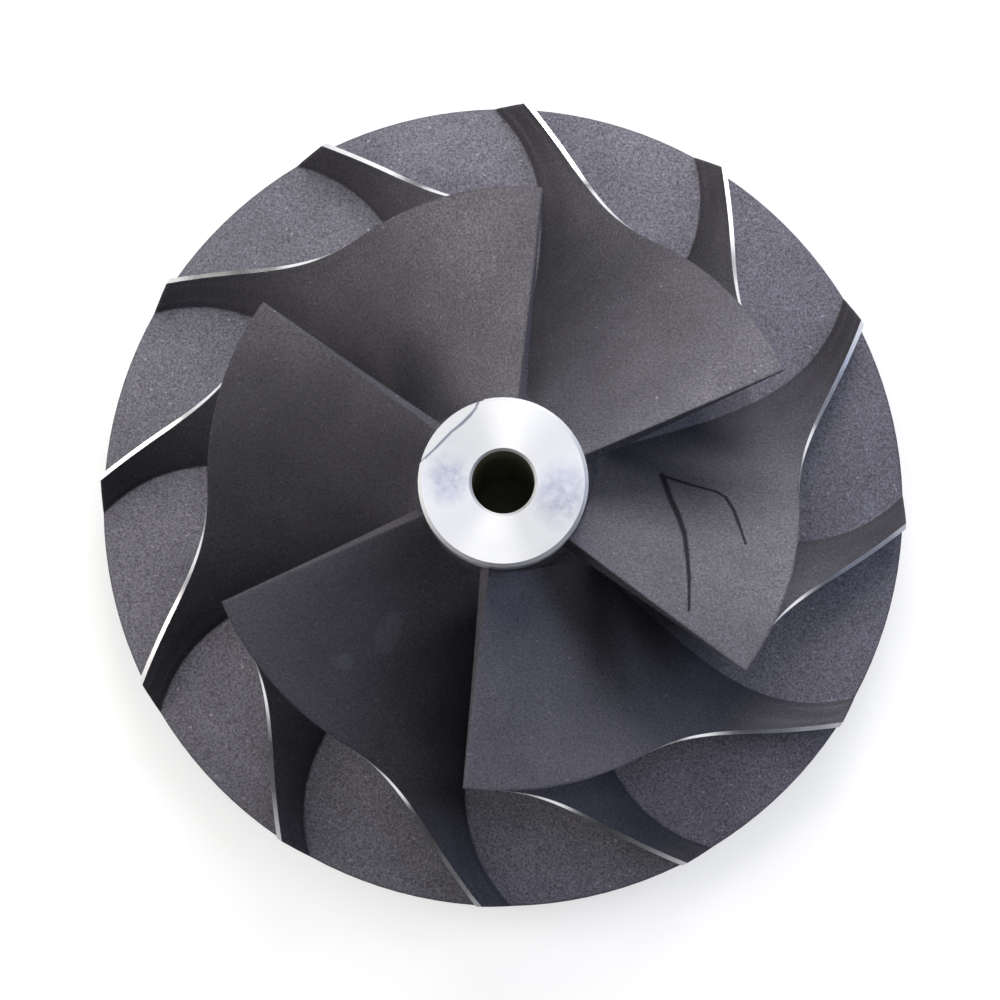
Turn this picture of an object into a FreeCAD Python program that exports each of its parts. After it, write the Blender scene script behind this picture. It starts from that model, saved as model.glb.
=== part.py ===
import FreeCAD, Part
import os
from math import acos, cos, pi, radians, sin, tan
import Sketcher
from FreeCAD import Placement, Rotation, Vector

# Radial compressor wheel of a turbocharger, cast in one piece and turned where it is bright.
# The bore axis is Z, the nose points to +Z and the origin is where the bore leaves the rear
# hub face. Lengths are millimetres and angles degrees. Heights of the flow path are taken
# from the disc face, which is the front of the rim.

DIMENSIONS = [
    # disc and back
    ("exducer_diameter", 82.0), ("rim_thickness", 1.3), ("back_depth", 4.6),
    ("back_ring_width", 7.0), ("rear_hub_diameter", 20.0), ("rear_hub_step", 1.0),
    ("turning_stock", 1.2),
    # hub, nose and bore
    ("floor_slope", 6.0), ("nose_diameter", 16.2), ("nose_height", 28.5), ("nose_land", 4.3),
    ("nose_chamfer", 0.35), ("bore_diameter", 6.0), ("bore_chamfer", 0.25),
    # contour that the blade tips are turned to
    ("inducer_diameter", 58.4), ("inducer_height", 23.7), ("exit_blade_height", 3.57),
    ("shroud_inlet_arc", 10.0), ("shroud_exit_arc", 26.0), ("shroud_exit_slope", 10.0),
    # blades: angles are measured from the meridional plane
    ("blade_pairs", 6), ("tip_inlet_angle", 74.3), ("exit_angle", 41.2), ("angle_settles", 0.73),
    ("root_settles", 0.35), ("root_turns", 0.5), ("root_exit_angle", 43.5),
    ("first_blade_angle", 7.55), ("inlet_edge_sweep", 5.0), ("exit_edge_lean", 3.35),
    ("splitter_start", 0.32),
    ("tip_thickness_inlet", 0.32), ("tip_thickness_exit", 0.42), ("root_thickness", 1.3),
    ("root_depth", 0.6),
    # balance cut at the edge of the nose
    ("balance_cut_depth", 1.25), ("balance_cut_height", 1.2), ("balance_cut_angle", 45.0),
]

doc = FreeCAD.newDocument("compressor_wheel")


def make_sheet():
    sheet = doc.addObject("Spreadsheet::Sheet", "Dimensions")
    for row, (name, value) in enumerate(DIMENSIONS, start=1):
        sheet.set("A%d" % row, name)
        sheet.set("B%d" % row, str(value))
        sheet.setAlias("B%d" % row, name)
    doc.recompute()
    return sheet


SHEET = make_sheet()


def size(name):
    return float(getattr(SHEET, name))


def origin_plane(body, role):
    return [f for f in body.Origin.OriginFeatures if f.Role == role][0]


def new_sketch(body, name, role):
    sketch = body.newObject("Sketcher::SketchObject", name)
    sketch.AttachmentSupport = [(origin_plane(body, role), "")]
    sketch.MapMode = "FlatFace"
    return sketch


def bind(sketch, kind, elements, name, expression, value):
    """Adds a named dimension to the sketch and ties it to the sheet."""
    index = sketch.addConstraint(Sketcher.Constraint(kind, *elements, value))
    sketch.renameConstraint(index, name)
    sketch.setExpression("Constraints." + name, expression)


def chain(sketch, geometry, smooth=()):
    """Adds the edges, each joined to the next; the numbered edges run on smoothly."""
    ids = [sketch.addGeometry(g, False) for g in geometry]
    for i, (a, b) in enumerate(zip(ids, ids[1:] + ids[:1])):
        joint = "Tangent" if i in smooth else "Coincident"
        sketch.addConstraint(Sketcher.Constraint(joint, a, 2, b, 1))
    return ids


def line(x0, y0, x1, y1):
    return Part.LineSegment(Vector(x0, y0, 0), Vector(x1, y1, 0))


def arc(centre, radius, start, end):
    """Arc from one polar angle to another, counter-clockwise, in radians."""
    circle = Part.Circle(Vector(centre[0], centre[1], 0), Vector(0, 0, 1), radius)
    return Part.ArcOfCircle(circle, start, end)


def falling_arcs(start, first, second, meet, end):
    """Two tangent arcs that leave straight down and turn towards level."""
    x, y = start
    centre_1 = (x + first, y)
    centre_2 = (x + first + (second - first) * cos(meet), y + (second - first) * sin(meet))
    return arc(centre_1, first, pi, pi + meet), arc(centre_2, second, pi + meet, pi + end)


def hub_sketch(body):
    """Half-section of the disc and hub: a nose, a hollow arc down to a coned floor, a coned back."""
    sketch = new_sketch(body, "HubSection", "XZ_Plane")
    outer, nose = size("exducer_diameter") / 2, size("nose_diameter") / 2
    rear = size("rear_hub_diameter") / 2
    under = size("back_depth")
    face = under + size("rim_thickness")
    top = face + size("nose_height")
    land = top - size("nose_land")
    edge = size("nose_chamfer")
    ring = outer - size("back_ring_width")
    step, stock = size("rear_hub_step"), size("turning_stock")
    slope = radians(size("floor_slope"))
    hollow = ((land - face) * cos(slope) - (outer - nose) * sin(slope)) / (1 - sin(slope))
    foot_x, foot_y = nose + hollow * (1 - sin(slope)), land - hollow * cos(slope)
    ids = chain(sketch, [
        line(0, top, nose - edge, top), line(nose - edge, top, nose, top - edge),
        line(nose, top - edge, nose, land), arc((nose + hollow, land), hollow, pi, 1.5 * pi - slope),
        line(foot_x, foot_y, outer, face), line(outer, face, outer + stock, face),
        line(outer + stock, face, outer + stock, under), line(outer + stock, under, ring, under),
        line(ring, under, rear, step), line(rear, step, rear, 0), line(rear, 0, 0, 0),
        line(0, 0, 0, top)], smooth=(2, 3))
    front, bevel, side, flare, floor, spare, rim, back, cone, boss, foot, axis = ids
    for i in (front, spare, back, foot):
        sketch.addConstraint(Sketcher.Constraint("Horizontal", i))
    for i in (side, rim, boss, axis):
        sketch.addConstraint(Sketcher.Constraint("Vertical", i))
    sketch.addConstraint(Sketcher.Constraint("Coincident", foot, 2, -1, 1))
    d = "Dimensions."
    bind(sketch, "Angle", (floor,), "slope", "-" + d + "floor_slope * 1 deg", -slope)
    bind(sketch, "DistanceX", (-1, 1, floor, 2), "outer", d + "exducer_diameter / 2", outer)
    bind(sketch, "DistanceX", (spare, 1, spare, 2), "stock", d + "turning_stock", stock)
    bind(sketch, "DistanceX", (-1, 1, side, 1), "nose", d + "nose_diameter / 2", nose)
    bind(sketch, "DistanceX", (-1, 1, boss, 1), "rear", d + "rear_hub_diameter / 2", rear)
    bind(sketch, "DistanceX", (bevel, 1, bevel, 2), "edge_x", d + "nose_chamfer", edge)
    bind(sketch, "DistanceY", (bevel, 2, bevel, 1), "edge_y", d + "nose_chamfer", edge)
    bind(sketch, "DistanceX", (back, 2, floor, 2), "ring", d + "back_ring_width", outer - ring)
    bind(sketch, "DistanceY", (-1, 1, rim, 2), "under", d + "back_depth", under)
    bind(sketch, "DistanceY", (rim, 2, rim, 1), "rim", d + "rim_thickness", face - under)
    bind(sketch, "DistanceY", (rim, 1, front, 1), "height", d + "nose_height", top - face)
    bind(sketch, "DistanceY", (side, 2, front, 1), "land", d + "nose_land", top - land)
    bind(sketch, "DistanceY", (boss, 2, boss, 1), "step", d + "rear_hub_step", step)
    return sketch, (flare, floor)


def envelope_sketch(body):
    """Half-section of what is left after turning: the blades' tip contour and the rim."""
    sketch = new_sketch(body, "TipContour", "XZ_Plane")
    outer, inner = size("exducer_diameter") / 2, size("inducer_diameter") / 2
    face = size("back_depth") + size("rim_thickness")
    inlet = face + size("inducer_height")
    exit_ = face + size("exit_blade_height")
    stock = size("turning_stock")
    top = face + size("nose_height") + stock
    first, second = size("shroud_inlet_arc"), size("shroud_exit_arc")
    end = pi / 2 - radians(size("shroud_exit_slope"))
    meet = acos((outer - inner - first + second * cos(end)) / (second - first))
    start = exit_ + first * sin(meet) + second * (sin(end) - sin(meet))
    arcs = falling_arcs((inner, start), first, second, meet, end)
    ids = chain(sketch, [
        line(0, top, inner, top), line(inner, top, inner, inlet), line(inner, inlet, inner, start),
        arcs[0], arcs[1], line(outer, exit_, outer, -stock), line(outer, -stock, 0, -stock),
        line(0, -stock, 0, top)], smooth=(2, 3))
    lid, above, straight, one, two, rim, foot, axis = ids
    for i in (lid, foot):
        sketch.addConstraint(Sketcher.Constraint("Horizontal", i))
    for i in (above, straight, rim, axis):
        sketch.addConstraint(Sketcher.Constraint("Vertical", i))
    sketch.addConstraint(Sketcher.Constraint("PointOnObject", axis, 1, -2))
    d = "Dimensions."
    front = d + "back_depth + " + d + "rim_thickness + " + d
    lean = second * sin(radians(size("shroud_exit_slope")))
    bind(sketch, "Radius", (one,), "shroud_inlet_arc", d + "shroud_inlet_arc", first)
    bind(sketch, "Radius", (two,), "shroud_exit_arc", d + "shroud_exit_arc", second)
    bind(sketch, "DistanceX", (two, 2, two, 3), "exit_slope",
         d + "shroud_exit_arc * sin(" + d + "shroud_exit_slope * 1 deg)", lean)
    bind(sketch, "DistanceX", (-1, 1, rim, 1), "outer", d + "exducer_diameter / 2", outer)
    bind(sketch, "DistanceX", (-1, 1, above, 1), "inner", d + "inducer_diameter / 2", inner)
    bind(sketch, "DistanceY", (rim, 2, -1, 1), "under", d + "turning_stock", stock)
    bind(sketch, "DistanceY", (-1, 1, rim, 1), "exit", front + "exit_blade_height", exit_)
    bind(sketch, "DistanceY", (-1, 1, above, 2), "inlet", front + "inducer_height", inlet)
    bind(sketch, "DistanceY", (-1, 1, lid, 1), "top",
         front + "nose_height + " + d + "turning_stock", top)
    return sketch, (straight, one, two)


def revolve(body, sketch, name):
    feature = body.newObject("PartDesign::Revolution", name)
    feature.Profile = sketch
    feature.ReferenceAxis = (sketch, ["V_Axis"])
    feature.Angle = 360.0
    doc.recompute()
    return feature


def pocket_up(body, sketch, name):
    """Cuts everything above the sketch, and makes sure that it did."""
    before = body.Shape.Volume
    feature = body.newObject("PartDesign::Pocket", name)
    feature.Profile = sketch
    feature.Type = "ThroughAll"
    feature.Reversed = True
    doc.recompute()
    if not feature.Shape.Volume < before - 0.1:
        raise RuntimeError(name + " cuts nothing")
    return feature


def add_bore(body):
    sketch = new_sketch(body, "BoreCircle", "XY_Plane")
    radius = size("bore_diameter") / 2
    circle = sketch.addGeometry(Part.Circle(Vector(0, 0, 0), Vector(0, 0, 1), radius), False)
    sketch.addConstraint(Sketcher.Constraint("Coincident", circle, 3, -1, 1))
    bind(sketch, "Radius", (circle,), "bore", "Dimensions.bore_diameter / 2", radius)
    bore = pocket_up(body, sketch, "Bore")
    rims = ["Edge%d" % (i + 1) for i, e in enumerate(bore.Shape.Edges)
            if hasattr(e.Curve, "Radius") and abs(e.Curve.Radius - radius) < 1e-6 and e.Closed]
    bevel = body.newObject("PartDesign::Chamfer", "BoreChamfers")
    bevel.Base = (bore, rims)
    bevel.setExpression("Size", "Dimensions.bore_chamfer")
    doc.recompute()
    return bevel


def add_balance_cut(body):
    """A flat-bottomed bite milled out of the nose's edge to balance the wheel."""
    sketch = new_sketch(body, "BalanceChord", "XY_Plane")
    d = "Dimensions."
    top = size("back_depth") + size("rim_thickness") + size("nose_height")
    floor = top - size("balance_cut_height")
    turn = Rotation(Vector(0, 0, 1), size("balance_cut_angle"))
    sketch.AttachmentOffset = Placement(Vector(0, 0, floor), turn)
    sketch.setExpression(".AttachmentOffset.Base.z", d + "back_depth + " + d + "rim_thickness + "
                         + d + "nose_height - " + d + "balance_cut_height")
    sketch.setExpression(".AttachmentOffset.Rotation.Angle", d + "balance_cut_angle")
    nose = size("nose_diameter") / 2
    chord = nose - size("balance_cut_depth")
    ids = chain(sketch, [line(-nose, chord, nose, chord), line(nose, chord, nose, nose),
                         line(nose, nose, -nose, nose), line(-nose, nose, -nose, chord)])
    low, right, high, left = ids
    for i in (low, high):
        sketch.addConstraint(Sketcher.Constraint("Horizontal", i))
    for i in (left, right):
        sketch.addConstraint(Sketcher.Constraint("Vertical", i))
    half = d + "nose_diameter / 2"
    bind(sketch, "DistanceX", (-1, 1, right, 1), "right", half, nose)
    bind(sketch, "DistanceX", (left, 1, -1, 1), "left", half, nose)
    bind(sketch, "DistanceY", (-1, 1, high, 1), "high", half, nose)
    bind(sketch, "DistanceY", (-1, 1, low, 1), "chord", half + " - " + d + "balance_cut_depth", chord)
    return pocket_up(body, sketch, "BalanceCut")


def make_hub():
    body = doc.addObject("PartDesign::Body", "Hub")
    body.Label = "hub_and_disc"
    sketch, arcs = hub_sketch(body)
    revolve(body, sketch, "HubRevolution")
    add_bore(body)
    add_balance_cut(body)
    return body, contour(sketch, arcs)


def make_envelope():
    body = doc.addObject("PartDesign::Body", "BladeEnvelope")
    body.Label = "blade_envelope"
    sketch, arcs = envelope_sketch(body)
    revolve(body, sketch, "EnvelopeRevolution")
    return body, contour(sketch, arcs)


def contour(sketch, ids):
    """Edges of a flow-path contour, in order from the inlet to the exit."""
    return [sketch.Geometry[i].toShape() for i in ids]


def point_on(edges, fraction):
    """(radius, height) at a share of the contour's length; past the end it runs on straight."""
    rest = fraction * sum(e.Length for e in edges)
    for edge in edges:
        if rest <= edge.Length:
            p = edge.valueAt(edge.getParameterByLength(max(rest, 0)))
            return p.x, p.y
        rest -= edge.Length
    last = edges[-1]
    p = last.valueAt(last.LastParameter)
    step = last.tangentAt(last.LastParameter) * rest
    return p.x + step.x, p.y + step.y


STEPS = 240
BEYOND = 0.04


def sweep_angles(edges, slope):
    """Angle round the axis at each station, from the local blade angle's tangent."""
    length = sum(e.Length for e in edges)
    swept = [0.0]
    step = (1 + BEYOND) / STEPS
    for i in range(STEPS):
        x = (i + 0.5) * step
        swept.append(swept[-1] + slope(x) * length * step / point_on(edges, x)[0])
    return swept


def settle(x):
    """1 at the inlet, falling smoothly to 0 where the blade angle settles."""
    return max(0.0, 1 - x / size("angle_settles")) ** 2


def tip_law():
    inlet, outlet = size("tip_inlet_angle"), size("exit_angle")
    return lambda x: tan(radians(outlet + (inlet - outlet) * settle(x)))


def root_law(edges, wrap):
    """The root winds round the hub at the inlet, runs out radially and sweeps back at the exit.

    The inlet angle is the one that gives the wrap.
    """
    settles, turns = size("root_settles"), size("root_turns")
    outlet = tan(radians(size("root_exit_angle")))

    def winding(x):
        return max(0.0, 1 - x / settles)

    def sweepback(x):
        return outlet * max(0.0, (x - turns) / (1 - turns)) ** 2.5

    left = wrap - at(sweep_angles(edges, sweepback), 1)
    inlet = left / at(sweep_angles(edges, winding), 1)
    return lambda x: inlet * winding(x) + sweepback(x)


def at(table, x):
    """Value between the stations of a table made by sweep_angles."""
    place = x / (1 + BEYOND) * STEPS
    i = min(int(place), STEPS - 1)
    return table[i] + (table[i + 1] - table[i]) * (place - i)


class Camber:
    """Middle surface of a blade: straight lines from the hub contour to the tip contour."""

    def __init__(self, hub, shroud):
        self.hub, self.shroud = hub, shroud
        self.start = radians(size("first_blade_angle"))
        self.tip = sweep_angles(shroud, tip_law())
        wrap = at(self.tip, 1) + radians(size("inlet_edge_sweep") + size("exit_edge_lean"))
        self.sweep = radians(size("inlet_edge_sweep"))
        self.root = sweep_angles(hub, root_law(hub, wrap))

    def ends(self, x):
        r, z = point_on(self.hub, x)
        angle = self.start + self.sweep - at(self.root, x)
        low = Vector(r * sin(angle), r * cos(angle), z)
        r, z = point_on(self.shroud, x)
        angle = self.start - at(self.tip, x)
        return low, Vector(r * sin(angle), r * cos(angle), z)

    def point(self, x, s):
        low, high = self.ends(x)
        return low + (high - low) * s

    def normal(self, x, s):
        d = 1e-3
        along = self.point(x + d, s) - self.point(max(x - d, 0), s)
        across = self.point(x, s + d) - self.point(x, s - d)
        return along.cross(across).normalize()

    def height(self, x):
        low, high = self.ends(x)
        return (high - low).Length


def thickness(x, s):
    """Thin at the tip, thickest at the root."""
    tip = size("tip_thickness_inlet") + (size("tip_thickness_exit") - size("tip_thickness_inlet")) * x
    return tip + (size("root_thickness") - tip) * (1 - min(max(s, 0), 1))


def side_surface(camber, stations, side):
    rows = []
    for x in stations:
        sunk = size("root_depth") / camber.height(x)
        levels = [-sunk] + [i / 4 for i in range(5)] + [1 + sunk]
        rows.append([camber.point(x, s) + camber.normal(x, s) * (side * thickness(x, s) / 2)
                     for s in levels])
    surface = Part.BSplineSurface()
    surface.interpolate(rows)
    return surface


def boundary(surface):
    u0, u1, v0, v1 = surface.bounds()
    return [surface.uIso(u0).toShape(), surface.uIso(u1).toShape(),
            surface.vIso(v0).toShape(), surface.vIso(v1).toShape()]


def blade_solid(camber, start, count):
    """Closed solid between the two side surfaces."""
    stations = [start + (1 + BEYOND * 0.9 - start) * i / count for i in range(count + 1)]
    left, right = (side_surface(camber, stations, side) for side in (1, -1))
    caps = [Part.makeRuledSurface(a, b) for a, b in zip(boundary(left), boundary(right))]
    shell = Part.Shell([left.toShape(), right.toShape()] + caps)
    shell.sewShape()
    solid = Part.makeSolid(shell)
    if solid.Volume < 0:
        solid.reverse()
    return solid


def make_blade(name, camber, start, count):
    """One blade, a little too tall and too long, as it is before turning."""
    blade = doc.addObject("Part::Feature", name)
    blade.Shape = blade_solid(camber, start, count)
    return blade


def blade_ring(blade, name, offset):
    """Copies of a blade at equal steps round the bore axis, seen from the nose clockwise."""
    pairs = int(size("blade_pairs"))
    ring = []
    for i in range(pairs):
        copy = doc.addObject("Part::Feature", "%s%d" % (name, i + 1))
        copy.Shape = blade.Shape
        turn = 360.0 / pairs * (i + offset)
        copy.Placement = Placement(Vector(0, 0, 0), Rotation(Vector(0, 0, -1), turn))
        ring.append(copy)
    return ring


def make_wheel(hub, blades, envelope):
    cast = doc.addObject("Part::MultiFuse", "Casting")
    cast.Shapes = [hub] + blades
    doc.recompute()
    turned = doc.addObject("Part::Common", "Turned")
    turned.Base = cast
    turned.Tool = envelope
    doc.recompute()
    return turned


def finish(turned):
    """The finished wheel is the one solid that is left."""
    solids = turned.Shape.Solids
    if len(solids) != 1:
        raise RuntimeError("the wheel is in %d pieces" % len(solids))
    wheel = doc.addObject("Part::Feature", "Wheel")
    wheel.Label = "compressor_wheel"
    wheel.Shape = solids[0]
    wheel.Placement = Placement()
    doc.recompute()
    return wheel


def check_document():
    for item in doc.Objects:
        if "Invalid" in item.State or "Error" in item.State:
            raise RuntimeError(item.Name + " failed")
    for item in doc.Objects:
        if item.isDerivedFrom("Part::Feature") and (item.Shape.isNull() or not item.Shape.isValid()):
            raise RuntimeError(item.Name + " has a bad shape")


def main():
    hub, hub_contour = make_hub()
    envelope, tip_contour = make_envelope()
    camber = Camber(hub_contour, tip_contour)
    full = make_blade("FullBlade", camber, 0.0, 16)
    splitter = make_blade("SplitterBlade", camber, size("splitter_start"), 12)
    blades = blade_ring(full, "Full", 0) + blade_ring(splitter, "Splitter", 0.5)
    wheel = finish(make_wheel(hub, blades, envelope))
    check_document()
    os.makedirs("parts", exist_ok=True)
    wheel.Shape.exportStep("parts/" + wheel.Label + ".step")
    print("%s: %.0f mm3, %d faces" % (wheel.Label, wheel.Shape.Volume, len(wheel.Shape.Faces)))


main()
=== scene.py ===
"""Finishes, studio and camera for a cast and turned radial compressor wheel."""
import math

import bpy
from mathutils import Matrix, Vector


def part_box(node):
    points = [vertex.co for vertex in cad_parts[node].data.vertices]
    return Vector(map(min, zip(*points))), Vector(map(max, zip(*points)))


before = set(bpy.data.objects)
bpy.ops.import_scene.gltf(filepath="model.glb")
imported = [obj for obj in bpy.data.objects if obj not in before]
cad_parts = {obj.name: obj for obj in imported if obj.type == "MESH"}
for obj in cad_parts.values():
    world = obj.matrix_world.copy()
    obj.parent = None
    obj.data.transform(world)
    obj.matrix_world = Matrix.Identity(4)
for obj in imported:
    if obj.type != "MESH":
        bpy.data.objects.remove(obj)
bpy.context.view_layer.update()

bl_info = {
    "name": "Compressor wheel",
    "version": (1, 0, 0),
    "blender": (4, 5, 0),
    "location": "View3D > Sidebar > Wheel",
    "description": "Dresses a cast and turned compressor wheel and sets up its studio",
    "category": "Object",
}

WHEEL = "compressor_wheel"
MM = 0.001
LOW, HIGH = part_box(WHEEL)

# The values of a noise texture mostly lie between these.
NOISE_LOW, NOISE_HIGH = 0.3, 0.7

# Cast skin: width of one cloud of tone, and how far edges and inner corners are rounded
CLOUD = 6 * MM
SOFT_EDGE = 0.4 * MM
CAST_METALLIC = 0.6
CAST_ROUGHNESS = (0.66, 0.5)
# Bright cuts: noise values at which one starts and is full, less the share of skin that is cut
CUT_RISE = (0.80, 0.92)
CUT_STRENGTH = 0.55

# Turned skin: width of one patch that is a little duller than the next
SMEAR = 5 * MM

# How far a face may lie off the surface that it is taken to belong to
SLACK = 0.05 * MM
CONTOUR_SLACK = 0.03 * MM
# Parts of a face's normal: up the axis on a level face, a chamfer, a tip and a blade seen from
# the nose, and away from the axis on the rim and on a tip that looks outwards
LEVEL_UP, CHAMFER_UP, TIP_UP, BLADE_UP = 0.9, 0.3, 0.7, 0.15
RIM_OUT, TIP_OUT = 0.8, 0.1
# The disc's front is a cone of 6 degrees, so a steeper face is a blade's or the hub's.
DISC_TILT = math.radians(8)
# Marks lie on the upper part of a blade, at least this far above the disc's front.
MARK_HEIGHT = 8 * MM

# Marks drawn with an inspection pen: points (x, y, width) in millimetres, seen from the nose.
LONG_STROKE = [(15.7, 1.8, 0.6), (16.4, -0.7, 0.66), (17.1, -2.5, 0.6), (17.6, -4.3, 0.54),
               (17.8, -6.5, 0.46), (17.9, -9.0, 0.4), (17.8, -11.9, 0.24)]
HOOKED_STROKE = [(15.7, 1.8, 0.36), (18.4, 0.9, 0.24), (21.0, 0.2, 0.26), (21.9, -0.4, 0.32),
                 (22.6, -1.7, 0.38), (23.1, -3.4, 0.34), (23.6, -5.2, 0.2)]
# A dark line along the edge of the balance cut, from the side of the nose to its top
CUT_EDGE_LINE = [(-7.75, 2.0, 0.3), (-6.4, 3.3, 0.34), (-4.9, 4.85, 0.36), (-3.8, 5.7, 0.36),
            (-3.1, 6.4, 0.32), (-2.6, 7.1, 0.28), (-2.3, 8.0, 0.22)]
# Boxes (x from, x to, y from, y to) in millimetres round the marks on the blades
PEN_BOX = (14.5, 25.0, -13.0, 3.0)
DROPS_BOX = (-18.0, -9.0, -18.0, -10.5)
# Dried drops, and patches of painted bluish reflection on the nose: (x, y, half length, half
# width) in millimetres, and turn in degrees
DROPS = [(-11.2, -13.9, 2.4, 1.3, 18), (-15.5, -16.7, 0.9, 1.1, 0)]
REFLECTION_PATCHES = [(-5.3, 0.3, 2.7, 2.6, 0), (5.5, -1.2, 3.5, 3.0, 15)]
# Where each stain and each patch starts to fade and where it ends, as shares of its size
DROP_FADE = (0.7, 1.05)
REFLECTION_FADE = (0.4, 1.1)
# how wide the mottles in the painted reflection on the nose are
REFLECTION_MOTTLE = 1.3 * MM

# Studio: (name, azimuth in degrees from +Y towards +X, power's property, colour)
LAMPS = [("key_lamp", 10, "key_power", "#fffdfa"),
         ("side_lamp", -84, "side_power", "#fffaf2"),
         ("window_lamp", 74, "window_power", "#cfdcff")]
LAMP_ELEVATION = 38
# Cards that the metal mirrors: (name, centre, width, height, facing)
CARDS = [("card_in_front", (0, -0.16, 0.12), 0.5, 0.24, (0, 1, 0)),
         ("card_at_right", (0.16, 0, 0.1), 0.4, 0.2, (-1, 0, 0)),
         ("card_at_left", (-1.0, 0, 0.4), 2.0, 0.8, (1, 0, 0)),
         ("card_behind", (0, 1.0, 0.4), 2.0, 0.8, (0, -1, 0))]
CARD_ABOVE_CENTRE = (0, 0.06, 0.8)
CARD_ABOVE_WIDTH = 2.4
TABLE_WIDTH = 6
# Strength of the table's own light, and the distances from the axis over which it grows:
# close in, where it leaves a painted shadow under and round the wheel, and far off, where the
# lamps do not reach
TABLE_NEAR_PAINTED_SHADOW = (0.77, HIGH.x * 0.6, HIGH.x * 1.15)
TABLE_FAR = (0.3, 0.12, 0.7)
SENSOR_WIDTH = 36
CAMERA_SHIFT = (-0.0032, 0.0044)
CAMERA_REACH = (0.01, 20)


def linear(text):
    """sRGB hex to the linear colour that Blender works in."""
    values = [int(text[i:i + 2], 16) / 255 for i in (1, 3, 5)]
    return tuple(v / 12.92 if v <= 0.04045 else ((v + 0.055) / 1.055) ** 2.4 for v in values)


class WheelFinish(bpy.types.PropertyGroup):
    """What the surfaces of the wheel look like."""

    blade_colour: bpy.props.FloatVectorProperty(
        name="Blades", description="Blasted casting on the blades and the hub",
        subtype="COLOR", size=3, min=0, max=1, default=linear("#69676e"))
    # the disc faces up and is given a paler, cooler grey than the blades: painted light
    floor_colour: bpy.props.FloatVectorProperty(
        name="Disc", description="Blasted casting on the disc between the blades",
        subtype="COLOR", size=3, min=0, max=1, default=linear("#75737d"))
    speck_colour: bpy.props.FloatVectorProperty(
        name="Specks", description="Bright points where blast grit has cut the skin",
        subtype="COLOR", size=3, min=0, max=1, default=linear("#c2c0c8"))
    turned_colour: bpy.props.FloatVectorProperty(
        name="Turned metal", description="Bare aluminium fresh from the lathe",
        subtype="COLOR", size=3, min=0, max=1, default=linear("#e8e9ec"))
    nose_colour: bpy.props.FloatVectorProperty(
        name="Nose", description="Faced end of the nose, a cooler white",
        subtype="COLOR", size=3, min=0, max=1, default=linear("#f0f1f6"))
    bore_colour: bpy.props.FloatVectorProperty(
        name="Bore", description="Reamed wall of the bore with a film of oil",
        subtype="COLOR", size=3, min=0, max=1, default=linear("#d8d7c8"))
    # painted reflection: the bluish grey of the duller patches in the turned nose's reflection
    reflection_colour: bpy.props.FloatVectorProperty(
        name="Nose reflection", description="Thin bluish film of oil dried on the nose",
        subtype="COLOR", size=3, min=0, max=1, default=linear("#a9afc9"))
    # a dark line drawn along the edge of the balance cut, as a colour
    cut_edge_line_colour: bpy.props.FloatVectorProperty(
        name="Cut edge line", description="Shaded burr along the balance cut on the nose",
        subtype="COLOR", size=3, min=0, max=1, default=linear("#7d8296"))
    ink_colour: bpy.props.FloatVectorProperty(
        name="Pen", description="Inspection pen on one blade",
        subtype="COLOR", size=3, min=0, max=1, default=linear("#1c1a1e"))
    # a real pit is about 0.1 mm wide: drawn at twice that, or it doesn't show
    grit: bpy.props.FloatProperty(
        name="Blast grain", description="Width of one pit left by the blast",
        unit="LENGTH", min=0.00005, max=0.002, precision=5, default=0.22 * MM)
    # a finishing cut feeds about 0.08 mm a turn: drawn at twice that, or it doesn't show
    feed: bpy.props.FloatProperty(
        name="Turning feed", description="Distance between two turning marks",
        unit="LENGTH", min=0.00005, max=0.002, precision=5, default=0.16 * MM)


class WheelContour(bpy.types.PropertyGroup):
    """Sizes that tell turned faces from cast ones."""

    inducer_radius: bpy.props.FloatProperty(
        name="Inducer radius", description="Radius of the blade tips at the inlet",
        unit="LENGTH", min=0.001, default=29.2 * MM)
    inlet_arc: bpy.props.FloatProperty(
        name="Inlet arc", description="Radius of the tip contour where it starts to turn",
        unit="LENGTH", min=0.001, default=10 * MM)
    exit_arc: bpy.props.FloatProperty(
        name="Exit arc", description="Radius of the tip contour towards the rim",
        unit="LENGTH", min=0.001, default=26 * MM)
    exit_slope: bpy.props.FloatProperty(
        name="Exit slope", description="Slope of the tip contour at the rim",
        subtype="ANGLE", min=0, default=math.radians(10))
    exit_height: bpy.props.FloatProperty(
        name="Exit height", description="Blade height at the rim",
        unit="LENGTH", min=0.0001, default=3.57 * MM)
    disc_face: bpy.props.FloatProperty(
        name="Disc face", description="Height of the front of the rim above the rear hub face",
        unit="LENGTH", min=0.0001, default=5.9 * MM)
    nose_radius: bpy.props.FloatProperty(
        name="Nose radius", description="Radius of the turned nose",
        unit="LENGTH", min=0.001, default=8.1 * MM)
    nose_land: bpy.props.FloatProperty(
        name="Nose land", description="Length of the turned part of the nose",
        unit="LENGTH", min=0.0001, default=4.3 * MM)
    bore_radius: bpy.props.FloatProperty(
        name="Bore radius", description="Radius of the shaft bore",
        unit="LENGTH", min=0.001, default=3 * MM)


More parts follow.
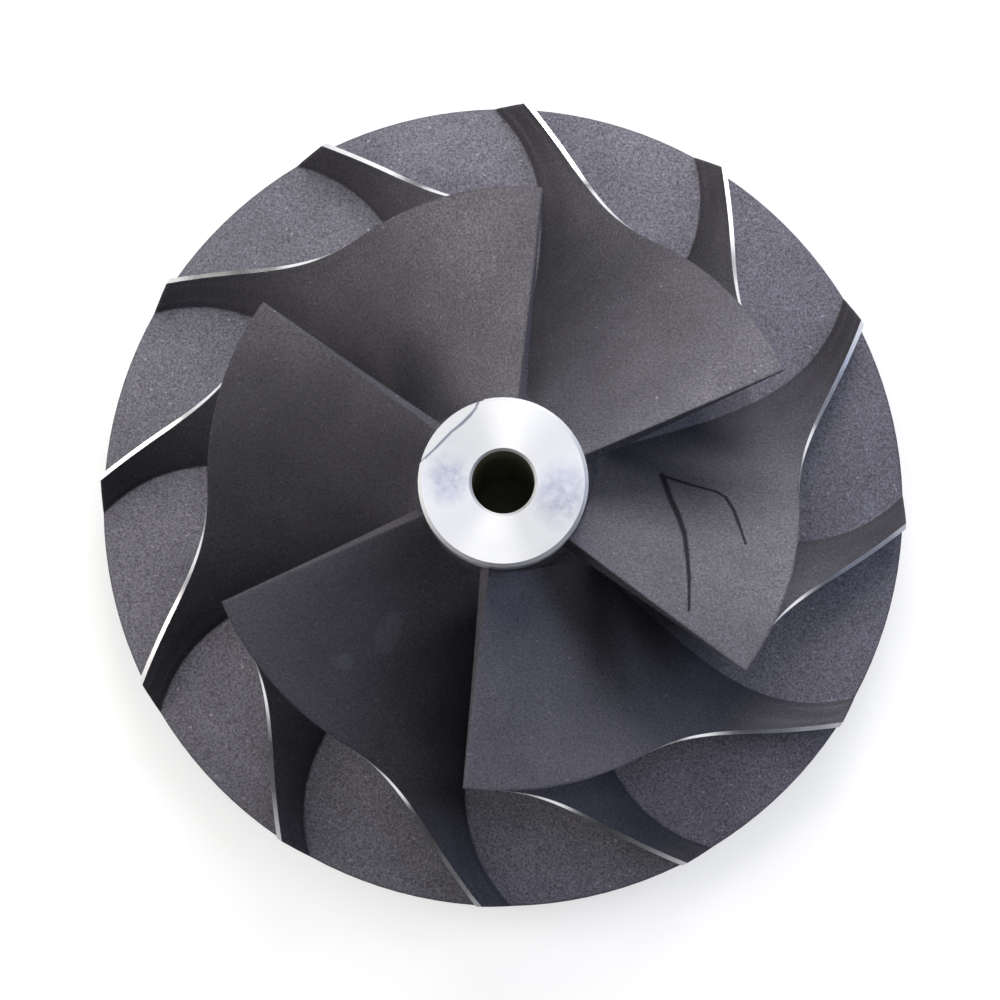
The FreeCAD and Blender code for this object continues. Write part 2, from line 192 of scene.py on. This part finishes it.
class WheelStudio(bpy.types.PropertyGroup):
    """Camera, lamps and table."""

    elevation: bpy.props.FloatProperty(
        name="Elevation", description="Height of the camera above the horizon",
        subtype="ANGLE", default=math.radians(85.72))
    distance: bpy.props.FloatProperty(
        name="Distance", description="From the camera to the middle of the disc face",
        unit="LENGTH", min=0.05, default=0.369)
    lens: bpy.props.FloatProperty(
        name="Lens", description="Focal length on a 36 mm wide frame",
        subtype="DISTANCE_CAMERA", min=10, default=129.46)
    key_power: bpy.props.FloatProperty(
        name="Key lamp", description="Power of the soft lamp at the back",
        unit="POWER", min=0, default=2.0)
    side_power: bpy.props.FloatProperty(
        name="Side lamp", description="Power of the soft lamp on the left",
        unit="POWER", min=0, default=1.15)
    window_power: bpy.props.FloatProperty(
        name="Window", description="Power of the cool light from the right",
        unit="POWER", min=0, default=0.9)
    lamp_distance: bpy.props.FloatProperty(
        name="Lamp distance", description="From each lamp to the wheel",
        unit="LENGTH", min=0.1, default=0.5)
    lamp_width: bpy.props.FloatProperty(
        name="Lamp width", description="Side of each square lamp",
        unit="LENGTH", min=0.01, default=0.28)
    floor_colour: bpy.props.FloatVectorProperty(
        name="Floor", description="Pale studio table", subtype="COLOR", size=3, min=0, max=1,
        default=linear("#adadae"))
    sky: bpy.props.FloatProperty(
        name="Sky", description="Strength of the even light from all round", min=0, default=0.01)


def add(tree, kind, links=(), **settings):
    """Adds a node, sets its properties, and fills its inputs with values or with other sockets."""
    node = tree.nodes.new(kind)
    for name, value in settings.items():
        setattr(node, name, value)
    for name, value in dict(links).items():
        socket = node.inputs[name]
        if isinstance(value, bpy.types.NodeSocket):
            tree.links.new(value, socket)
        else:
            socket.default_value = value
    return node


def colour4(value):
    return (*value[:3], 1.0)


def new_material(name):
    material = bpy.data.materials.new(name)
    material.use_nodes = True
    material.node_tree.nodes.clear()
    return material, material.node_tree


def close_material(tree, surface):
    add(tree, "ShaderNodeOutputMaterial", {"Surface": surface.outputs[0]})


def plan_of(tree, place):
    """The place seen along the bore axis."""
    return add(tree, "ShaderNodeVectorMath", {0: place, 1: (1, 1, 0)},
               operation="MULTIPLY").outputs[0]


def any_of(tree, masks):
    """Mask that covers what any of the masks covers."""
    whole, *others = masks
    for mask in others:
        whole = add(tree, "ShaderNodeMath", {0: whole, 1: mask}, operation="MAXIMUM").outputs[0]
    return whole


def pen_line(tree, plan, points):
    """Mask of a line drawn by hand through points (x, y, width), in millimetres."""
    masks = []
    for (x0, y0, w0), (x1, y1, w1) in zip(points, points[1:]):
        run = Vector((x1 - x0, y1 - y0, 0)) * MM
        width = (w0 + w1) / 2 * MM
        start = add(tree, "ShaderNodeVectorMath", {0: plan, 1: (x0 * MM, y0 * MM, 0)},
                    operation="SUBTRACT")
        along = add(tree, "ShaderNodeVectorMath", {0: start.outputs[0], 1: run},
                    operation="DOT_PRODUCT")
        share = add(tree, "ShaderNodeMapRange", {
            "Value": along.outputs["Value"], "From Max": run.length_squared})
        foot = add(tree, "ShaderNodeVectorMath", {0: run, "Scale": share.outputs[0]},
                   operation="SCALE")
        gap = add(tree, "ShaderNodeVectorMath", {0: start.outputs[0], 1: foot.outputs[0]},
                  operation="DISTANCE")
        # full strength over the inner part of the width, then fading past its edge
        masks.append(add(tree, "ShaderNodeMapRange", {
            "Value": gap.outputs["Value"], "From Min": width * 0.3, "From Max": width * 0.65,
            "To Min": 1.0, "To Max": 0.0}).outputs[0])
    return any_of(tree, masks)


def stains_and_reflections(tree, plan, ovals, fade):
    """Mask of oval stains, and of patches of painted reflection, with a soft edge, each turned
    from +Y towards +X.
    """
    masks = []
    for x, y, half_length, half_width, turn in ovals:
        local = add(tree, "ShaderNodeMapping", {
            "Vector": plan, "Location": (x * MM, y * MM, 0),
            "Rotation": (0, 0, -math.radians(turn)),
            "Scale": (half_width * MM, half_length * MM, 1)}, vector_type="TEXTURE")
        away = add(tree, "ShaderNodeVectorMath", {0: local.outputs[0]}, operation="LENGTH")
        masks.append(add(tree, "ShaderNodeMapRange", {
            "Value": away.outputs["Value"], "From Min": fade[0], "From Max": fade[1],
            "To Min": 1.0, "To Max": 0.0}).outputs[0])
    return any_of(tree, masks)


def laid_over(tree, colour, mask, other, strength):
    """The colour, with another laid over it where the mask says."""
    weight = add(tree, "ShaderNodeMath", {0: mask, 1: strength}, operation="MULTIPLY")
    return add(tree, "ShaderNodeMix", {
        "Factor": weight.outputs[0], 6: colour, 7: colour4(other)}, data_type="RGBA").outputs[2]


def blasted_casting(name, base, speck, grit, pits, share, marks=None):
    """Investment-cast aluminium, blasted matt: dark skin, fine pits and scattered bright cuts."""
    material, tree = new_material(name)
    place = add(tree, "ShaderNodeTexCoord").outputs["Object"]
    grain = add(tree, "ShaderNodeTexNoise", {
        "Vector": place, "Scale": 1 / grit, "Detail": 2.0, "Roughness": 0.6})
    # the skin of a casting is never one tone: clouds a few millimetres across
    cloud = add(tree, "ShaderNodeTexNoise", {
        "Vector": place, "Scale": 1 / CLOUD, "Detail": 3.0, "Roughness": 0.55})
    # a cut that has bared bright metal is about two pits wide
    dust = add(tree, "ShaderNodeTexNoise", {
        "Vector": place, "Scale": 1 / (1.9 * grit), "Detail": 1.0, "Roughness": 0.5})
    cuts = add(tree, "ShaderNodeMapRange", {
        "Value": dust.outputs["Fac"], "From Min": CUT_RISE[0] - share,
        "From Max": CUT_RISE[1] - share, "To Max": CUT_STRENGTH})
    shade = add(tree, "ShaderNodeMapRange", {
        "Value": grain.outputs["Fac"], "From Min": NOISE_LOW, "From Max": NOISE_HIGH,
        "To Min": 1 - pits, "To Max": 1 + pits})
    tone = add(tree, "ShaderNodeMapRange", {
        "Value": cloud.outputs["Fac"], "From Min": NOISE_LOW, "From Max": NOISE_HIGH,
        "To Min": 0.9, "To Max": 1.1})
    both = add(tree, "ShaderNodeMath", {0: shade.outputs[0], 1: tone.outputs[0]},
               operation="MULTIPLY")
    skin = add(tree, "ShaderNodeVectorMath", {0: base[:3], "Scale": both.outputs[0]},
               operation="SCALE")
    finish = add(tree, "ShaderNodeMix", {
        "Factor": cuts.outputs[0], 6: skin.outputs[0], 7: colour4(speck)},
        data_type="RGBA").outputs[2]
    if marks:
        finish = marks(tree, plan_of(tree, place), finish)
    # pits scatter more than the ridges between them
    rough = add(tree, "ShaderNodeMapRange", {
        "Value": grain.outputs["Fac"], "From Min": NOISE_LOW, "From Max": NOISE_HIGH,
        "To Min": CAST_ROUGHNESS[0], "To Max": CAST_ROUGHNESS[1]})
    # no cast edge or inner corner is sharp
    soft = add(tree, "ShaderNodeBevel", {"Radius": SOFT_EDGE}, samples=2)
    bump = add(tree, "ShaderNodeBump", {
        "Strength": 0.5, "Distance": 0.12 * grit, "Height": grain.outputs["Fac"],
        "Normal": soft.outputs[0]})
    # pits shade each other at a low angle, so the skin throws little light back along itself
    surface = add(tree, "ShaderNodeBsdfPrincipled", {
        "Base Color": finish, "Metallic": CAST_METALLIC, "Roughness": rough.outputs[0],
        "Specular IOR Level": 0.2, "Specular Tint": (0.15, 0.15, 0.15, 1.0),
        "Normal": bump.outputs[0]})
    close_material(tree, surface)
    return material


def turned_metal(name, base, feed, roughness, depth, rings, grooved=0.0, marks=None):
    """Aluminium left bare by the lathe: bright, with fine rings that spread the highlight."""
    material, tree = new_material(name)
    place = add(tree, "ShaderNodeTexCoord").outputs["Object"]
    plan = plan_of(tree, place)
    radius = add(tree, "ShaderNodeVectorMath", {0: plan}, operation="LENGTH")
    split = add(tree, "ShaderNodeSeparateXYZ", {"Vector": place})
    section = add(tree, "ShaderNodeCombineXYZ", {
        "X": radius.outputs["Value"], "Y": split.outputs["Z"]})
    # the tool advances by one feed each turn, and never quite evenly
    grooves = add(tree, "ShaderNodeTexNoise", {
        "Vector": section.outputs[0], "Scale": 1 / feed, "Detail": 2.0, "Roughness": 0.7})
    smear = add(tree, "ShaderNodeTexNoise", {
        "Vector": place, "Scale": 1 / SMEAR, "Detail": 2.0, "Roughness": 0.5})
    tone = add(tree, "ShaderNodeMapRange", {
        "Value": grooves.outputs["Fac"], "From Min": NOISE_LOW, "From Max": NOISE_HIGH,
        "To Min": 1 - rings, "To Max": 1.0})
    finish = add(tree, "ShaderNodeVectorMath", {0: base[:3], "Scale": tone.outputs[0]},
                 operation="SCALE").outputs[0]
    if marks:
        finish = marks(tree, plan, finish)
    rough = add(tree, "ShaderNodeMapRange", {
        "Value": smear.outputs["Fac"], "From Min": 0.35, "From Max": 0.65,
        "To Min": roughness - 0.04, "To Max": roughness + 0.06})
    bump = add(tree, "ShaderNodeBump", {
        "Strength": 0.35, "Distance": depth, "Height": grooves.outputs["Fac"]})
    # grooves run round the axis, so a lamp is drawn out into a fan across them
    round_axis = add(tree, "ShaderNodeTangent", direction_type="RADIAL", axis="Z")
    surface = add(tree, "ShaderNodeBsdfPrincipled", {
        "Base Color": finish, "Metallic": 1.0, "Roughness": rough.outputs[0],
        "Anisotropic": grooved, "Anisotropic Rotation": 0.25,
        "Tangent": round_axis.outputs[0], "Normal": bump.outputs[0]})
    close_material(tree, surface)
    return material


def pen_marks(tree, plan, colour):
    ink = bpy.context.scene.wheel_finish.ink_colour
    strokes = [pen_line(tree, plan, LONG_STROKE), pen_line(tree, plan, HOOKED_STROKE)]
    return laid_over(tree, colour, any_of(tree, strokes), ink, 0.85)


def dried_drops(tree, plan, colour):
    pale = bpy.context.scene.wheel_finish.speck_colour
    return laid_over(tree, colour, stains_and_reflections(tree, plan, DROPS, DROP_FADE), pale, 0.09)


def cut_line(tree, plan, colour):
    dark_line = bpy.context.scene.wheel_finish.cut_edge_line_colour
    # a dark line drawn along the edge of the balance cut
    return laid_over(tree, colour, pen_line(tree, plan, CUT_EDGE_LINE), dark_line, 0.85)


def nose_reflection_and_line(tree, plan, colour):
    reflection = bpy.context.scene.wheel_finish.reflection_colour
    # the painted reflection is mottled in patches about a millimetre wide
    mottle = add(tree, "ShaderNodeTexNoise", {
        "Vector": plan, "Scale": 1 / REFLECTION_MOTTLE, "Detail": 4.0, "Roughness": 0.65})
    patch_strength = add(tree, "ShaderNodeMapRange", {
        "Value": mottle.outputs["Fac"], "From Min": 0.25, "From Max": 0.6, "To Min": 0.15})
    patches = add(tree, "ShaderNodeMath", {
        0: stains_and_reflections(tree, plan, REFLECTION_PATCHES, REFLECTION_FADE), 1: patch_strength.outputs[0]}, operation="MULTIPLY")
    # bluish patches of painted reflection on both sides of the nose
    colour = laid_over(tree, colour, patches.outputs[0], reflection, 0.75)
    return cut_line(tree, plan, colour)


def tip_contour(sizes):
    """Points (radius, height) of the line that the blade tips are turned to, from inlet to rim."""
    outer = HIGH.x
    first, second = sizes.inlet_arc, sizes.exit_arc
    end = math.pi / 2 - sizes.exit_slope
    meet = math.acos((outer - sizes.inducer_radius - first + second * math.cos(end))
                     / (second - first))
    low = sizes.disc_face + sizes.exit_height
    start = low + first * math.sin(meet) + second * (math.sin(end) - math.sin(meet))
    points = [(sizes.inducer_radius, HIGH.z), (sizes.inducer_radius, start)]
    for since, until, arc, steps in ((0, meet, first, 40), (meet, end, second, 80)):
        x, y = points[-1]
        for i in range(1, steps + 1):
            a = since + (until - since) * i / steps
            points.append((x + arc * (math.cos(since) - math.cos(a)),
                           y - arc * (math.sin(a) - math.sin(since))))
    return points


def off_line(points, radius, height):
    """Distance from a point of the section to a line through points."""
    gaps = []
    for (x0, y0), (x1, y1) in zip(points, points[1:]):
        dx, dy = x1 - x0, y1 - y0
        share = ((radius - x0) * dx + (height - y0) * dy) / (dx * dx + dy * dy)
        share = min(max(share, 0.0), 1.0)
        gaps.append(math.hypot(radius - x0 - share * dx, height - y0 - share * dy))
    return min(gaps)


def inside(centre, box):
    x0, x1, y0, y1 = (v * MM for v in box)
    return x0 < centre.x < x1 and y0 < centre.y < y1


def finish_of(centre, normal, corners, sizes, contour):
    """Which finish a face carries, by its place and the way it faces."""
    radius = math.hypot(centre.x, centre.y)
    if radius < sizes.bore_radius + SLACK:
        return "bore"
    if centre.z > HIGH.z - sizes.nose_land and radius < sizes.nose_radius + SLACK:
        if normal.z > LEVEL_UP:
            return "nose" if centre.z > HIGH.z - SLACK else "bite"
        return "edge" if normal.z > CHAMFER_UP else "nose"
    outward = (normal.x * centre.x + normal.y * centre.y) / radius
    if radius > HIGH.x - SLACK and outward > RIM_OUT:
        return "turned"
    if centre.z < sizes.disc_face - SLACK:
        return "back"
    if outward > TIP_OUT or normal.z > TIP_UP:
        if all(off_line(contour, math.hypot(c.x, c.y), c.z) < CONTOUR_SLACK
               for c in corners):
            return "turned"
    if normal.z > BLADE_UP and centre.z > sizes.disc_face + MARK_HEIGHT:
        if inside(centre, PEN_BOX):
            return "pen"
        if inside(centre, DROPS_BOX):
            return "drops"
    # upward faces near the disc's front get the disc's paler grey, which is painted light
    if normal.z > math.cos(DISC_TILT) and centre.z < sizes.disc_face + sizes.exit_height * 0.8:
        return "disc"
    return "cast"


class WHEEL_OT_finishes(bpy.types.Operator):
    """Give the cast, blasted and turned faces of the wheel their own finish"""

    bl_idname = "wheel.finishes"
    bl_label = "Surface finishes"

    def execute(self, context):
        look = context.scene.wheel_finish
        sizes = context.scene.wheel_contour
        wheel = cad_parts[WHEEL]
        mesh = wheel.data
        blade = dict(base=look.blade_colour, speck=look.speck_colour, grit=look.grit,
                     pits=0.28, share=0.075)
        finishes = {
            # matt dark grey with a fine grain and sparse bright points
            "cast": blasted_casting("blasted_cast_aluminium_blades", **blade),
            # the same skin under two dark strokes of a pen
            "pen": blasted_casting("blasted_cast_aluminium_pen_marked", **blade,
                                   marks=pen_marks),
            # the same skin with two faint pale ovals
            "drops": blasted_casting("blasted_cast_aluminium_stained", **blade,
                                     marks=dried_drops),
            # a stronger grain, because the blast meets the disc square, and a paler, cooler grey
            # that is painted light on these upward faces
            "disc": blasted_casting("blasted_cast_aluminium_disc", look.floor_colour,
                                    look.speck_colour, look.grit, pits=0.42, share=0.11),
            # nearly white, with a fan of light across the rings and mottled bluish patches of
            # painted reflection
            "nose": turned_metal("turned_aluminium_nose", look.nose_colour, look.feed,
                                 roughness=0.3, depth=0.004 * MM, rings=0.06, grooved=0.75,
                                 marks=nose_reflection_and_line),
            # a clean even white beside the nose, with no rings to speak of
            "bite": turned_metal("milled_aluminium_bite", look.turned_colour, look.feed,
                                 roughness=0.2, depth=0.001 * MM, rings=0.02, marks=cut_line),
            # a soft grey line round the nose
            "edge": turned_metal("turned_aluminium_broken_edge", look.turned_colour, look.feed,
                                 roughness=0.55, depth=0.002 * MM, rings=0.04),
            # thin bright lines along the blade tips and the rim, white where they catch a lamp
            "turned": turned_metal("turned_aluminium_edges", look.turned_colour, look.feed,
                                   roughness=0.3, depth=0.003 * MM, rings=0.06),
            # bright, with coarser rings
            "back": turned_metal("turned_aluminium_back", look.turned_colour, look.feed * 2,
                                 roughness=0.32, depth=0.006 * MM, rings=0.14),
            # a dim wall in which little light is left after a few reflections
            "bore": turned_metal("reamed_aluminium_bore", look.bore_colour, look.feed,
                                 roughness=0.35, depth=0.003 * MM, rings=0.1),
        }
        names = list(finishes)
        mesh.materials.clear()
        for name in names:
            mesh.materials.append(finishes[name])
        contour = tip_contour(sizes)
        counts = dict.fromkeys(names, 0)
        for face in mesh.polygons:
            corners = [mesh.vertices[i].co for i in face.vertices]
            name = finish_of(face.center, face.normal, corners, sizes, contour)
            face.material_index = names.index(name)
            counts[name] += 1
        if not all(counts.values()):
            raise RuntimeError("a finish found no faces: %s" % counts)
        return {"FINISHED"}


def aim(place, target):
    """Turn that makes a lamp or camera at place look at target, with its top towards +Y."""
    back = (Vector(place) - Vector(target)).normalized()
    top = Vector((0, 1, 0)) if abs(back.y) < 0.99 else Vector((0, 0, 1))
    right = top.cross(back).normalized()
    up = back.cross(right)
    turn = Matrix((right, up, back)).transposed().to_4x4()
    return Matrix.Translation(Vector(place)) @ turn


def round_about(target, azimuth, elevation, distance):
    """A place round the target: azimuth from +Y towards +X, elevation above the table."""
    a, e = math.radians(azimuth), math.radians(elevation)
    away = Vector((math.cos(e) * math.sin(a), math.cos(e) * math.cos(a), math.sin(e)))
    return Vector(target) + away * distance


def background_rays(tree):
    """1 for rays that show the background: seen straight, in metal or through glass."""
    rays = add(tree, "ShaderNodeLightPath").outputs
    return any_of(tree, [rays["Is Camera Ray"], rays["Is Glossy Ray"],
                         rays["Is Transmission Ray"]])


def floor_material(colour):
    """Matt white table: it keeps the soft shadow, adds a painted shadow under and round the wheel,
    and its own tone comes out white.
    """
    material, tree = new_material("matt_white_table")
    surface = add(tree, "ShaderNodeBsdfPrincipled", {
        "Base Color": colour4(colour), "Roughness": 0.9})
    place = add(tree, "ShaderNodeTexCoord").outputs["Object"]
    away = add(tree, "ShaderNodeVectorMath", {0: place}, operation="LENGTH")
    # the table's light is missing under the wheel and grows past its rim: a painted shadow
    rises = [add(tree, "ShaderNodeMapRange", {
        "Value": away.outputs["Value"], "From Min": start, "From Max": end,
        "To Max": strength}, interpolation_type="SMOOTHSTEP").outputs[0]
        for strength, start, end in (TABLE_NEAR_PAINTED_SHADOW, TABLE_FAR)]
    glow_with_painted_shadow = add(tree, "ShaderNodeMath", {0: rises[0], 1: rises[1]}, operation="ADD")
    power = add(tree, "ShaderNodeMath", {0: background_rays(tree), 1: glow_with_painted_shadow.outputs[0]},
                operation="MULTIPLY")
    glow = add(tree, "ShaderNodeEmission", {"Strength": power.outputs[0]})
    close_material(tree, add(tree, "ShaderNodeAddShader", {
        0: surface.outputs[0], 1: glow.outputs[0]}))
    return material


def card_paper():
    """Matt black card: it gives the metal something dark to mirror."""
    material, tree = new_material("matt_black_card")
    close_material(tree, add(tree, "ShaderNodeBsdfPrincipled", {
        "Base Color": colour4(linear("#1a1b1f")), "Roughness": 0.9}))
    return material


def add_card(name, centre, width, height, facing, paper):
    """An upright card that only the metal sees, and that shades nothing."""
    bpy.ops.mesh.primitive_plane_add(size=1)
    card = bpy.context.object
    card.name = name
    card.matrix_world = aim(centre, Vector(centre) - Vector(facing)) @ Matrix.Diagonal(
        (width, height, 1, 1))
    bpy.ops.object.transform_apply(location=True, rotation=True, scale=True)
    card.data.materials.append(paper)
    card.visible_camera = False
    card.visible_shadow = False


def add_card_above(paper):
    """A card overhead with a square window a third as wide, which the nose mirrors."""
    bpy.ops.mesh.primitive_grid_add(x_subdivisions=3, y_subdivisions=3,
                                    size=CARD_ABOVE_WIDTH, location=CARD_ABOVE_CENTRE)
    card = bpy.context.object
    card.name = "card_above"
    bpy.ops.object.transform_apply(location=True)
    bpy.ops.object.mode_set(mode="EDIT")
    bpy.ops.mesh.select_all(action="DESELECT")
    bpy.ops.object.mode_set(mode="OBJECT")
    middle = min(card.data.polygons, key=lambda f: f.center.xy.length)
    middle.select = True
    bpy.ops.object.mode_set(mode="EDIT")
    bpy.ops.mesh.delete(type="FACE")
    bpy.ops.object.mode_set(mode="OBJECT")
    card.data.materials.append(paper)
    card.visible_camera = False


def add_lamp(name, azimuth, power, colour, target, studio):
    bpy.ops.object.light_add(type="AREA")
    lamp = bpy.context.object
    lamp.name = name
    place = round_about(target, azimuth, LAMP_ELEVATION, studio.lamp_distance)
    lamp.matrix_world = aim(place, target)
    lamp.data.shape = "SQUARE"
    lamp.data.size = studio.lamp_width
    lamp.data.energy = power
    lamp.data.color = linear(colour)


def add_camera(target, studio):
    bpy.ops.object.camera_add()
    camera = bpy.context.object
    camera.name = "camera"
    away = Vector((0, -math.cos(studio.elevation), math.sin(studio.elevation)))
    camera.matrix_world = aim(target + away * studio.distance, target)
    camera.data.sensor_width = SENSOR_WIDTH
    camera.data.lens = studio.lens
    camera.data.shift_x, camera.data.shift_y = CAMERA_SHIFT
    camera.data.clip_start, camera.data.clip_end = CAMERA_REACH
    bpy.context.scene.camera = camera


def white_world(strength):
    """White to look at, and almost no light on the wheel."""
    world = bpy.data.worlds.new("studio")
    world.use_nodes = True
    tree = world.node_tree
    tree.nodes.clear()
    power = add(tree, "ShaderNodeMapRange", {
        "Value": background_rays(tree), "To Min": strength, "To Max": 1.0})
    light = add(tree, "ShaderNodeBackground", {
        "Color": (1, 1, 1, 1), "Strength": power.outputs[0]})
    add(tree, "ShaderNodeOutputWorld", {"Surface": light.outputs[0]})
    return world


class WHEEL_OT_studio(bpy.types.Operator):
    """Set the wheel on a white table under soft lamps, and place the camera"""

    bl_idname = "wheel.studio"
    bl_label = "Studio"

    def execute(self, context):
        bpy.ops.object.select_all(action="DESELECT")
        studio = context.scene.wheel_studio
        face = Vector((0, 0, context.scene.wheel_contour.disc_face))
        bpy.ops.mesh.primitive_plane_add(size=TABLE_WIDTH, location=(0, 0, LOW.z))
        table = context.object
        table.name = "table"
        table.data.materials.append(floor_material(studio.floor_colour))
        context.scene.world = white_world(studio.sky)
        for name, azimuth, power, colour in LAMPS:
            add_lamp(name, azimuth, getattr(studio, power), colour, face, studio)
        paper = card_paper()
        add_card_above(paper)
        for card in CARDS:
            add_card(*card, paper)
        add_camera(face, studio)
        context.scene.view_settings.view_transform = "Standard"
        return {"FINISHED"}


class WHEEL_PT_panel(bpy.types.Panel):
    """Sizes, colours and steps of the wheel"""

    bl_idname = "WHEEL_PT_panel"
    bl_label = "Compressor wheel"
    bl_space_type = "VIEW_3D"
    bl_region_type = "UI"
    bl_category = "Wheel"

    def draw(self, context):
        for group in (context.scene.wheel_finish, context.scene.wheel_contour,
                      context.scene.wheel_studio):
            box = self.layout.box()
            for name in group.__annotations__:
                box.prop(group, name)
        for operator in OPERATORS:
            self.layout.operator(operator.bl_idname)


GROUPS = {"wheel_finish": WheelFinish, "wheel_contour": WheelContour,
          "wheel_studio": WheelStudio}
OPERATORS = (WHEEL_OT_finishes, WHEEL_OT_studio)


def register():
    for name, group in GROUPS.items():
        bpy.utils.register_class(group)
        setattr(bpy.types.Scene, name, bpy.props.PointerProperty(type=group))
    for operator in OPERATORS:
        bpy.utils.register_class(operator)
    bpy.utils.register_class(WHEEL_PT_panel)


def unregister():
    bpy.utils.unregister_class(WHEEL_PT_panel)
    for operator in reversed(OPERATORS):
        bpy.utils.unregister_class(operator)
    for name, group in GROUPS.items():
        delattr(bpy.types.Scene, name)
        bpy.utils.unregister_class(group)


def main():
    register()
    bpy.ops.wheel.finishes()
    bpy.ops.wheel.studio()


if __name__ == "__main__":
    main()
